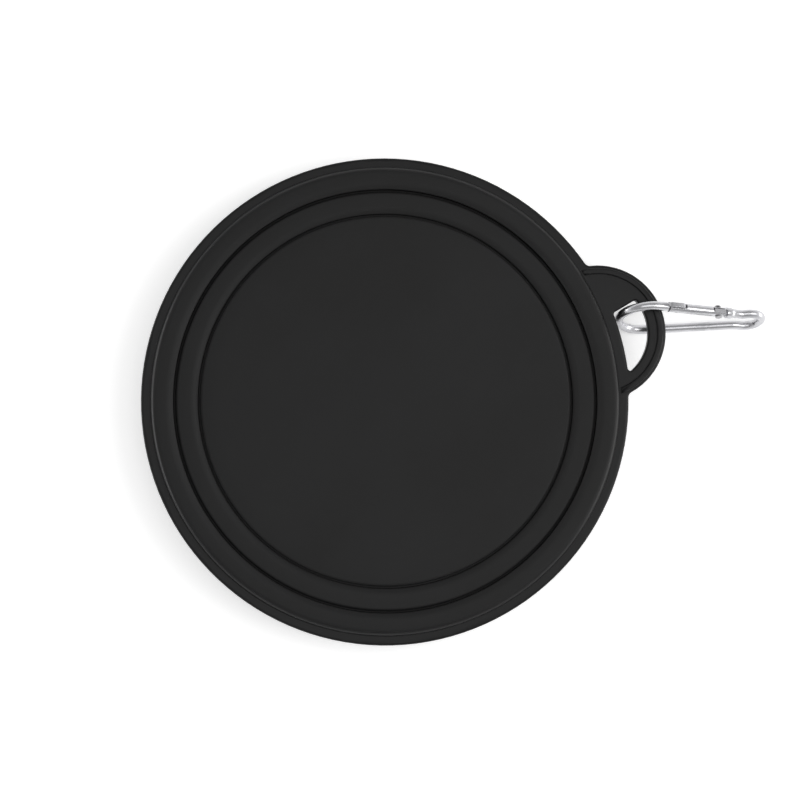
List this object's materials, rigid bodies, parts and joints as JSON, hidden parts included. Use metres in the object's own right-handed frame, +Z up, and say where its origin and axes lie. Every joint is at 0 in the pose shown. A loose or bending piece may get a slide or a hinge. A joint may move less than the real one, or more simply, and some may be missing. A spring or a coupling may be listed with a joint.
{
  "type": "collapsible silicone bowl",
  "caption": "Dark grey collapsible silicone bowl, folded flat, with a hard rim ring, a slotted tab and a small silver carabiner hooked in the slot.",
  "frame": {"origin": "the bowl's axis on the table that the folded bowl stands on", "axes": "+Z up along the bowl's axis, +X towards the middle of the tab, +Y to the left of the tab"},
  "size_m": [0.1707, 0.13, 0.0171],
  "materials": {
    "ring_plastic": "satin, dark grey",
    "silicone": "matt, dark grey silicone",
    "bright_alloy": "bright silver, tumbled",
    "steel": "plain"
  },
  "bodies": {
    "rim": {"rim_frame": "ring_plastic", "upper_wall": "silicone", "upper_fold_web": "silicone"},
    "lower_ring": {"lower_wall": "silicone", "lower_fold_web": "silicone"},
    "base": {"base_disc": "silicone"},
    "carabiner": {"carabiner_frame": "bright_alloy", "gate_rivet": "steel"},
    "gate": {"carabiner_gate": "bright_alloy", "latch_pin": "steel", "gate_spring": "steel"},
    "plunger": {"spring_plunger": "steel"}
  },
  "joints": [
    {"name": "lower_wall_slide", "type": "slide", "parent": "rim", "child": "lower_ring", "axis": [0, 0, -1], "range_m": [0, 0.0258], "deforming": ["upper_fold_web"]},
    {"name": "base_slide", "type": "slide", "parent": "lower_ring", "child": "base", "axis": [0, 0, -1], "range_m": [0, 0.0258], "deforming": ["lower_fold_web"]},
    {"name": "carabiner_swing", "type": "hinge", "parent": "rim", "child": "carabiner", "pos_m": [0.07498, 0.00097, 0.01168], "axis": [-0.249, -0.9104, 0.3305], "range_deg": [0, 125]},
    {"name": "gate_hinge", "type": "hinge", "parent": "carabiner", "child": "gate", "pos_m": [0.09278, -0.00433, 0.01048], "axis": [-0.249, -0.9104, 0.3305], "range_deg": [0, 25], "stiffness_Nm_per_rad": 0.04, "springref_deg": -20.05},
    {"name": "plunger_slide", "type": "slide", "parent": "gate", "child": "plunger", "axis": [-0.8895, 0.35, 0.2937], "range_m": [0, 0.00045], "deforming": ["gate_spring"]}
  ],
  "couplings": [
    {"joint": "plunger_slide", "follows": "gate_hinge", "m_per_rad": 0.001}
  ]
}
